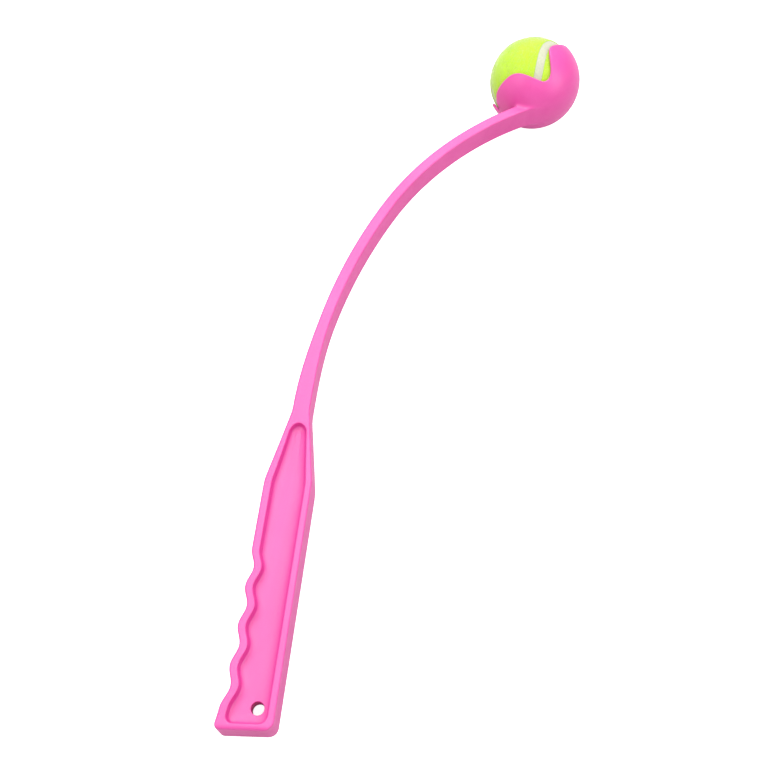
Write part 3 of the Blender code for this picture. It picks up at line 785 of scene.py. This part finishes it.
def make_launcher():
    """Build the one-piece launcher with soft fillets, in its resting place."""
    body = add_object(loft("launcher_skin", [body_section(along) for along in body_stations()]))
    guides = make_guides()
    for guide in guides[:-1]:
        cut(body, guide)
    cut(body, guides[-1], "UNION")
    bpy.context.view_layer.update()
    finished = body.evaluated_get(bpy.context.evaluated_depsgraph_get())
    bm = bmesh.new()
    bm.from_mesh(finished.to_mesh())
    finished.to_mesh_clear()
    bmesh.ops.remove_doubles(bm, verts=bm.verts, dist=WELD_DISTANCE)
    bmesh.ops.triangulate(bm, faces=[face for face in bm.faces if len(face.verts) > 4])
    refine_root(bm)
    fillet_root(bm)
    for thing in (body, *guides):
        bpy.data.objects.remove(thing, do_unlink=True)
    bm.transform(placed(REST_PLACE, REST_TURN))
    skin = add_object(mesh_from(bm, "launcher_moulding"))
    skin.data.set_sharp_from_angle(angle=SHARP_ANGLE)
    weighted = skin.modifiers.new("even_shading", "WEIGHTED_NORMAL")
    weighted.keep_sharp = True
    return skin


# Ball

def seam_point(turn):
    """Return a point of the unit sphere on the ball's one closed seam."""
    wide = 1 - SEAM_SWAY_SHARE
    sway = SEAM_SWAY_SHARE
    x = wide * math.cos(turn) + sway * math.cos(3 * turn)
    y = wide * math.sin(turn) - sway * math.sin(3 * turn)
    z = 2 * math.sqrt(wide * sway) * math.sin(2 * turn)
    return Vector((x, y, z)).normalized()


def seam_offset_point(turn, offset):
    """Return the unit-sphere point that lies beside the seam; offset is an angle."""
    here = seam_point(turn)
    heading = (seam_point(turn + SEAM_NUDGE) - seam_point(turn - SEAM_NUDGE)).normalized()
    aside = here.cross(heading).normalized()
    return here * math.cos(offset) + aside * math.sin(offset)


def panel_grid(first_turn, side, radius, inset):
    """Return rows of points across one felt panel, from one rounded end to the other."""
    offset = side * (SEAM_WIDTH / 2 + PIECE_GAP + inset) / radius
    rows = []
    for row in range(PANEL_ROWS + 1):
        turn = first_turn + math.pi * row / PANEL_ROWS
        left = seam_offset_point(turn, offset)
        if row in (0, PANEL_ROWS):
            rows.append([left * radius])
            continue
        right = seam_offset_point(2 * first_turn - turn, offset)
        points = [left.slerp(right, k / PANEL_COLUMNS) for k in range(PANEL_COLUMNS + 1)]
        rows.append([point * radius for point in points])
    return rows


def round_edge(rows):
    """Return what lies along the edge of a panel grid, as one loop."""
    return [row[0] for row in rows] + [row[-1] for row in rows[-2:0:-1]]


def panel_surface(bm, rows):
    """Fill a panel grid with faces and return the loop of vertices round its edge."""
    verts = [[bm.verts.new(point) for point in row] for row in rows]
    for tip, row in ((verts[0][0], verts[1]), (verts[-1][0], verts[-2])):
        for k in range(PANEL_COLUMNS):
            bm.faces.new((tip, row[k], row[k + 1]))
    for lower, upper in zip(verts[1:-2], verts[2:-1]):
        for k in range(PANEL_COLUMNS):
            bm.faces.new((lower[k], lower[k + 1], upper[k + 1], upper[k]))
    return round_edge(verts)


def nap_height(point):
    """Return how far the nap of the felt stands up or lies down at a point of the ball."""
    lump = noise.fractal(point * NAP_LUMP_SCALE, 1.0, 2.0, NAP_LUMP_OCTAVES)
    tuft = noise.noise(point * NAP_TUFT_SCALE)
    return NAP_DEPTH * (NAP_LUMP_SHARE * lump + NAP_TUFT_SHARE * tuft)


def panel_mesh(name, first_turn, side):
    """Make one dog-bone felt panel with a rounded edge and an uneven nap."""
    bm = bmesh.new()
    inner_radius = CORE_RADIUS + PIECE_GAP
    edge_radius = BALL_RADIUS - FELT_EDGE_ROUND
    loops = [panel_surface(bm, panel_grid(first_turn, side, inner_radius, 0))]
    for inset, radius in ((0, edge_radius), (FELT_EDGE_SHAVE, BALL_RADIUS - FELT_EDGE_SHAVE)):
        edge = round_edge(panel_grid(first_turn, side, radius, inset))
        loops.append([bm.verts.new(point) for point in edge])
    loops.append(panel_surface(bm, panel_grid(first_turn, side, BALL_RADIUS, FELT_EDGE_ROUND)))
    bridge(bm, loops)
    for vert in bm.verts:
        if vert.co.length > edge_radius - FELT_EDGE_ROUND:
            vert.co += vert.co.normalized() * nap_height(vert.co)
    return mesh_from(bm, name)


def seam_mesh(name):
    """Make the rubber seam that fills the groove between the felt panels."""
    bm = bmesh.new()
    low = CORE_RADIUS + PIECE_GAP
    high = BALL_RADIUS - SEAM_RECESS
    half = SEAM_WIDTH / 2
    profile = [(-half, low), (half, low)]
    for k in range(SEAM_FACE_STEPS + 1):
        share = 1 - 2 * k / SEAM_FACE_STEPS
        profile.append((share * (half + SEAM_LAP), high - SEAM_HOLLOW * abs(share) ** 3))
    loops = []
    for turn in round_angles(SEAM_STEPS):
        ring = []
        for across, radius in profile:
            point = seam_offset_point(turn, across / radius) * radius
            if radius > low:
                point *= 1 + SEAM_RIPPLE * noise.noise(point * SEAM_RIPPLE_SCALE) / radius
            ring.append(point)
        loops.append([bm.verts.new(point) for point in ring])
    bridge(bm, loops + loops[:1])
    return mesh_from(bm, name)


def any_direction(draw):
    """Return a vector that may point anywhere."""
    return Vector([draw.gauss(0, 1) for _ in range(3)])


def fibre_rings(root, draw):
    """Return the rings of one curled fibre that starts over a unit-sphere point."""
    heading = root.cross(any_direction(draw)).normalized()
    bend = draw.uniform(-FIBRE_CURL, FIBRE_CURL) / FIBRE_STEPS
    length = FIBRE_LENGTH * draw.uniform(*FIBRE_LENGTH_SHARES)
    rise = FIBRE_LIFT * draw.uniform(*FIBRE_LIFT_SHARES)
    point = root * BALL_RADIUS
    rings = []
    for share in spaced(0, 1, FIBRE_STEPS):
        outward = point.normalized()
        heading = (heading - outward * heading.dot(outward)).normalized()
        aside = outward.cross(heading)
        phase = math.pi * (FIBRE_ARCH_START + FIBRE_ARCH_SPAN * share)
        middle = outward * (BALL_RADIUS + (math.sin(phase) * rise - FIBRE_SINK))
        thin = FIBRE_RADIUS * (1 - FIBRE_TAPER * share)
        rings.append([
            middle + aside * thin * math.cos(angle) + outward * thin * math.sin(angle)
            for angle in round_angles(FIBRE_SIDES)])
        point = middle + heading * length / FIBRE_STEPS
        heading = heading * math.cos(bend) + aside * math.sin(bend)
    return rings


def fibre_mesh(name):
    """Make the loose wool of the felt: short curled fibres that lie along the ball."""
    draw = random.Random(FIBRE_SEED)
    seam = np.array([seam_point(turn)[:] for turn in round_angles(SEAM_SAMPLES)])
    clear = math.cos((SEAM_WIDTH / 2 + PIECE_GAP + FELT_EDGE_ROUND) / BALL_RADIUS)
    bm = bmesh.new()
    made = 0
    while made < FIBRE_COUNT:
        root = any_direction(draw).normalized()
        if (seam @ np.array(root)).max() > clear:
            continue
        made += 1
        loops = [[bm.verts.new(point) for point in ring] for ring in fibre_rings(root, draw)]
        bridge(bm, loops)
        bm.faces.new(loops[0][::-1])
        bm.faces.new(loops[-1])
    return stored(bm, name)


# Materials

class Nodes:
    """A short way to lay out a procedural material."""

    def __init__(self, name):
        """Start a Principled material."""
        self.material = bpy.data.materials.new(name)
        self.material.use_nodes = True
        self.tree = self.material.node_tree
        self.shader = self.tree.nodes["Principled BSDF"]
        self.places = self.tree.nodes.new("ShaderNodeTexCoord").outputs["Object"]

    def add(self, kind, inputs=(), **settings):
        """Add a node with settings, and link or set its inputs."""
        node = self.tree.nodes.new(kind)
        for key, value in settings.items():
            setattr(node, key, value)
        for key, value in dict(inputs).items():
            self.put(node, key, value)
        return node

    def put(self, node, key, value):
        """Link a socket to an input, or set the input."""
        if isinstance(value, bpy.types.NodeSocket):
            self.tree.links.new(value, node.inputs[key])
        else:
            node.inputs[key].default_value = value

    def noise(self, scale, detail=2, roughness=0.5, distortion=0.0):
        """Return smooth noise from 0 to 1; scale is lumps to the metre, one number or three."""
        places = self.places
        if isinstance(scale, tuple):
            stretch = {"Vector": self.places, "Scale": scale}
            places = self.add("ShaderNodeMapping", stretch).outputs[0]
            scale = 1.0
        return self.add("ShaderNodeTexNoise", {
            "Vector": places, "Scale": scale, "Detail": detail,
            "Roughness": roughness, "Distortion": distortion}).outputs["Fac"]

    def ramp(self, value, low, high, start=0.0, end=1.0):
        """Map a value from one range onto another."""
        return self.add("ShaderNodeMapRange", {
            "Value": value, "From Min": low, "From Max": high,
            "To Min": start, "To Max": end}, clamp=True).outputs[0]

    def mix(self, share, first, second):
        """Mix two colours by a share."""
        node = self.add("ShaderNodeMix", data_type="RGBA")
        # Inputs 6 and 7 and output 2 are the colour ones.
        for key, value in ((0, share), (6, first), (7, second)):
            if isinstance(value, tuple):
                value = (*value, 1.0)
            self.put(node, key, value)
        return node.outputs[2]

    def sum(self, first, second, share):
        """Return the first value plus a share of the second."""
        terms = {0: second, 1: share, 2: first}
        return self.add("ShaderNodeMath", terms, operation="MULTIPLY_ADD").outputs[0]

    def finish(self, colour, roughness, height, depth, **constants):
        """Wire the colour, roughness and relief into the shader and return the material."""
        self.put(self.shader, "Base Color", colour)
        self.put(self.shader, "Roughness", roughness)
        bump = self.add("ShaderNodeBump", {"Height": height, "Distance": depth, "Strength": 1.0})
        self.put(self.shader, "Normal", bump.outputs[0])
        for key, value in constants.items():
            self.shader.inputs[key.replace("_", " ")].default_value = value
        return self.material


def launcher_material():
    """Satin moulded plastic: faint flow marks, a fine eroded grain and a few rub marks."""
    nodes = Nodes("pink_moulding")
    deep, middle, pale = PINK_TONES
    flow = nodes.noise((55, 9, 55), detail=4, roughness=0.55, distortion=0.6)
    cloud = nodes.noise(22, detail=3)
    speck = nodes.noise(1400)
    colour = nodes.mix(nodes.ramp(flow, 0.35, 0.7), middle, pale)
    colour = nodes.mix(nodes.ramp(cloud, 0.55, 0.85, 0, 0.5), colour, deep)
    colour = nodes.mix(nodes.ramp(speck, 0.6, 0.8, 0, 0.18), colour, deep)
    rub = nodes.noise((900, 60, 900), detail=5, roughness=0.6, distortion=0.3)
    rough = nodes.ramp(cloud, 0.3, 0.7, 0.40, 0.48)
    rough = nodes.sum(rough, nodes.ramp(rub, 0.62, 0.74), 0.08)
    grain = nodes.noise(2600, roughness=0.6)
    swell = nodes.noise(90)
    relief = nodes.sum(nodes.sum(grain, swell, 6.0), nodes.ramp(rub, 0.66, 0.76), -0.6)
    return nodes.finish(
        colour, rough, relief, depth=0.000012,
        Subsurface_Weight=0.12, Subsurface_Radius=(1.0, 0.35, 0.6), Subsurface_Scale=0.002,
        Specular_IOR_Level=0.75)


def felt_material(name, tones, pale_share):
    """Brushed felt: matted tufts, stray pale wool and a soft sheen."""
    nodes = Nodes(name)
    deep, middle, pale = tones
    tuft = nodes.noise(520, detail=4, roughness=0.62, distortion=0.8)
    hair = nodes.noise((2600, 700, 1500), detail=3, roughness=0.6, distortion=1.6)
    cross = nodes.noise((700, 2600, 1200), detail=3, roughness=0.6, distortion=1.6)
    patch = nodes.noise(60)
    colour = nodes.mix(nodes.ramp(tuft, 0.3, 0.7), deep, middle)
    colour = nodes.mix(nodes.ramp(hair, 0.52, 0.7, 0, pale_share), colour, pale)
    colour = nodes.mix(nodes.ramp(cross, 0.55, 0.72, 0, pale_share), colour, pale)
    colour = nodes.mix(nodes.ramp(patch, 0.45, 0.75, 0, 0.35), colour, pale)
    rough = nodes.ramp(tuft, 0.2, 0.8, 0.86, 1.0)
    relief = nodes.sum(nodes.sum(tuft, hair, 0.8), cross, 0.8)
    return nodes.finish(
        colour, rough, relief, depth=0.00014,
        Sheen_Weight=1.0, Sheen_Roughness=0.3, Sheen_Tint=(1.0, 0.97, 1.0, 1.0),
        Specular_IOR_Level=0.2)


def seam_material():
    """Off-white rubber with a matt, slightly dusty face."""
    nodes = Nodes("seam_line_rubber")
    dust = nodes.noise(700, detail=4, roughness=0.6)
    patch = nodes.noise(130)
    colour = nodes.mix(nodes.ramp(dust, 0.35, 0.7), *SEAM_TONES)
    colour = nodes.mix(nodes.ramp(patch, 0.5, 0.8, 0, 0.4), colour, SEAM_STAIN)
    rough = nodes.ramp(dust, 0.3, 0.7, 0.62, 0.82)
    return nodes.finish(colour, rough, dust, depth=0.00008, Specular_IOR_Level=0.35)


def core_material():
    """Dark moulded rubber with talc marks."""
    nodes = Nodes("dark_core_rubber")
    talc = nodes.noise(240, detail=5, roughness=0.65, distortion=0.8)
    grain = nodes.noise(2200)
    colour = nodes.mix(nodes.ramp(talc, 0.5, 0.75, 0, 0.5), *CORE_TONES)
    rough = nodes.ramp(talc, 0.3, 0.7, 0.68, 0.86)
    relief = nodes.sum(grain, talc, 1.5)
    return nodes.finish(colour, rough, relief, depth=0.00005, Specular_IOR_Level=0.4)


def floor_material():
    """Plain pale paper, lit up like a light table where the camera sees it."""
    nodes = Nodes("pale_paper")
    fleck = nodes.noise(240)
    colour = nodes.mix(nodes.ramp(fleck, 0.3, 0.7), *FLOOR_TONES)
    rough = nodes.ramp(fleck, 0.3, 0.7, 0.9, 1.0)
    nodes.put(nodes.shader, "Emission Strength", seen_share(nodes.tree, 0.0, FLOOR_GLOW))
    return nodes.finish(
        colour, rough, fleck, depth=0.00001, Specular_IOR_Level=0.0, Emission_Color=WHITE)


# Stage

def seen_share(tree, unseen, seen):
    """Return one strength for the light that a thing gives and another for how it looks."""
    path = tree.nodes.new("ShaderNodeLightPath")
    share = tree.nodes.new("ShaderNodeMapRange")
    share.inputs["To Min"].default_value = unseen
    share.inputs["To Max"].default_value = seen
    tree.links.new(path.outputs["Is Camera Ray"], share.inputs["Value"])
    return share.outputs[0]


def add_panel(name, place, target, width, length, power):
    """Add a soft oblong lamp that shines at a target."""
    data = bpy.data.lights.new(name, "AREA")
    data.shape = "RECTANGLE"
    data.size = width
    data.size_y = length
    data.energy = power
    lamp = bpy.data.objects.new(name, data)
    bpy.context.scene.collection.objects.link(lamp)
    turn = (Vector(target) - Vector(place)).to_track_quat("-Z", "Y")
    lamp.matrix_world = Matrix.Translation(place) @ turn.to_matrix().to_4x4()


def add_stage(level):
    """Add the pale floor at a level, the even surround and the soft lamps."""
    bm = bmesh.new()
    bmesh.ops.create_grid(
        bm, x_segments=FLOOR_CELLS, y_segments=FLOOR_CELLS, size=FLOOR_REACH)
    floor = add_object(mesh_from(bm, "studio_floor"))
    floor.location.z = level
    floor.data.materials.append(floor_material())
    world = bpy.data.worlds.new("studio")
    world.use_nodes = True
    tree = world.node_tree
    surround = tree.nodes["Background"]
    surround.inputs["Color"].default_value = WHITE
    tree.links.new(seen_share(tree, SURROUND_LIGHT, 1.0), surround.inputs["Strength"])
    bpy.context.scene.world = world
    for panel in LAMP_PANELS:
        add_panel(*panel)


def add_ball_piece(mesh, surface, slot, *nodes):
    """Put a piece of the ball in the cup, in place of the plain nodes that it stands for."""
    mesh.transform(placed(REST_PLACE, REST_TURN) @ cup_frame() @ turned(BALL_TURN))
    mesh.materials.append(surface)
    piece = add_object(mesh)
    if nodes:
        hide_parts(*nodes)
    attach(piece, "ball")


def main():
    """Dress the thrower and put it on its stage."""
    add_camera()
    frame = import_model()
    bpy.context.scene.view_settings.view_transform = "Standard"
    launcher = make_launcher()
    launcher.data.materials.append(launcher_material())
    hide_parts("launcher")
    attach(launcher, "launcher")

    felt = felt_material("ball_felt_nap", FELT_TONES, FELT_PALE_SHARE)
    wool = felt_material("loose_wool", WOOL_TONES, WOOL_PALE_SHARE)
    panel_a = panel_mesh("felt_nap_a", PANEL_A_START, 1)
    panel_b = panel_mesh("felt_nap_b", PANEL_B_START, -1)
    add_ball_piece(panel_a, felt, "ball_felt", "felt_panel_a")
    add_ball_piece(panel_b, felt, "ball_felt", "felt_panel_b")
    add_ball_piece(seam_mesh("seam_line"), seam_material(), "seam_rubber", "ball_seam")
    add_ball_piece(fibre_mesh("felt_fibres"), wool, "ball_felt")
    core = core_material()
    for name in ("ball_core_half_a", "ball_core_half_b"):
        half = frame["nodes"][name]
        for entry in half.material_slots:
            entry.material = core

    lowest_point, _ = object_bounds()
    add_stage(lowest_point[2])


main()
